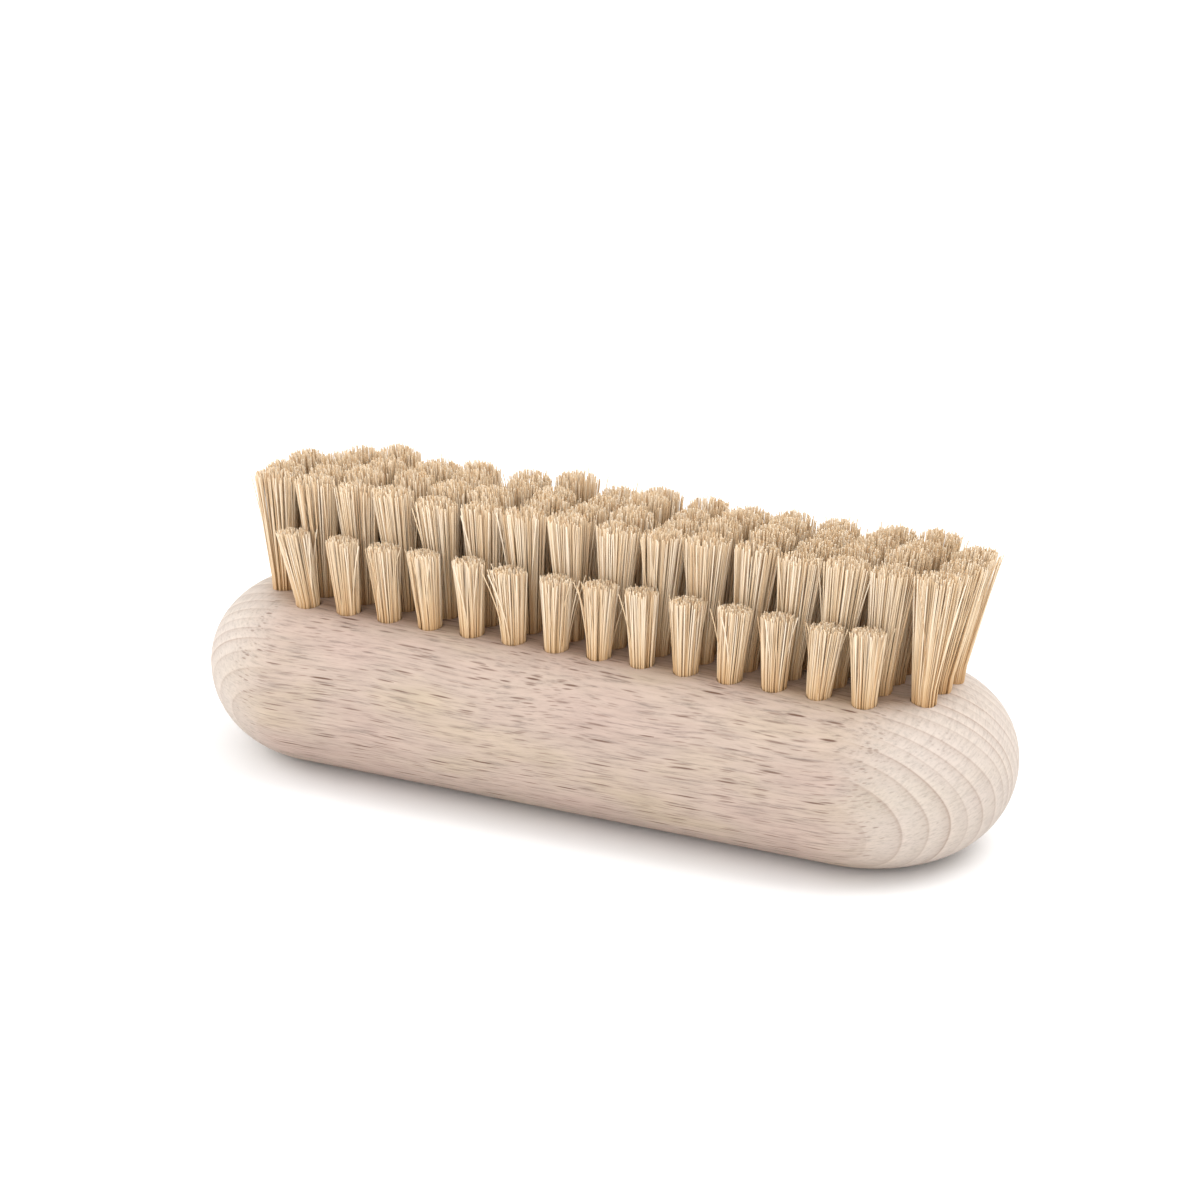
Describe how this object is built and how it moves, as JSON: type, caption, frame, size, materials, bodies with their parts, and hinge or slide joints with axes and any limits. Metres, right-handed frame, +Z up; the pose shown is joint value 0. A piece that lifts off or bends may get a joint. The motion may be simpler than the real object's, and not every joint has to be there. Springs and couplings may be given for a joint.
{
  "type": "clothes brush",
  "caption": "Hand clothes brush: a round-edged wooden block with straight rows of tall bristle tufts and one shorter row along its front edge.",
  "frame": {"origin": "centre of the block's flat underside; the middle of the bristle field is 0.8 mm further along +X", "axes": "+X along the block's length, +Y across it, away from the row of short tufts, +Z up along the bristles"},
  "size_m": [0.13, 0.0424, 0.044],
  "materials": {
    "beech": "sanded, unfinished",
    "bristle": "natural, matt to slightly glossy"
  },
  "bodies": {
    "root": {"beech_block": "beech", "short_tuft_01": "bristle", "short_tuft_02": "bristle", "short_tuft_03": "bristle", "short_tuft_04": "bristle", "short_tuft_05": "bristle", "short_tuft_06": "bristle", "short_tuft_07": "bristle", "short_tuft_08": "bristle", "short_tuft_09": "bristle", "short_tuft_10": "bristle", "short_tuft_11": "bristle", "short_tuft_12": "bristle", "short_tuft_13": "bristle", "short_tuft_14": "bristle", "tall_tuft_01": "bristle", "tall_tuft_02": "bristle", "tall_tuft_03": "bristle", "tall_tuft_04": "bristle", "tall_tuft_05": "bristle", "tall_tuft_06": "bristle", "tall_tuft_07": "bristle", "tall_tuft_08": "bristle", "tall_tuft_09": "bristle", "tall_tuft_10": "bristle", "tall_tuft_11": "bristle", "tall_tuft_12": "bristle", "tall_tuft_13": "bristle", "tall_tuft_14": "bristle", "tall_tuft_15": "bristle", "tall_tuft_16": "bristle", "rear_tufts_01": "bristle", "rear_tufts_02": "bristle", "rear_tufts_03": "bristle", "rear_tufts_04": "bristle", "rear_tufts_05": "bristle", "rear_tufts_06": "bristle", "rear_tufts_07": "bristle", "rear_tufts_08": "bristle", "rear_tufts_09": "bristle", "rear_tufts_10": "bristle", "rear_tufts_11": "bristle", "rear_tufts_12": "bristle", "rear_tufts_13": "bristle", "rear_tufts_14": "bristle", "rear_tufts_15": "bristle", "rear_tufts_16": "bristle"}
  },
  "joints": []
}
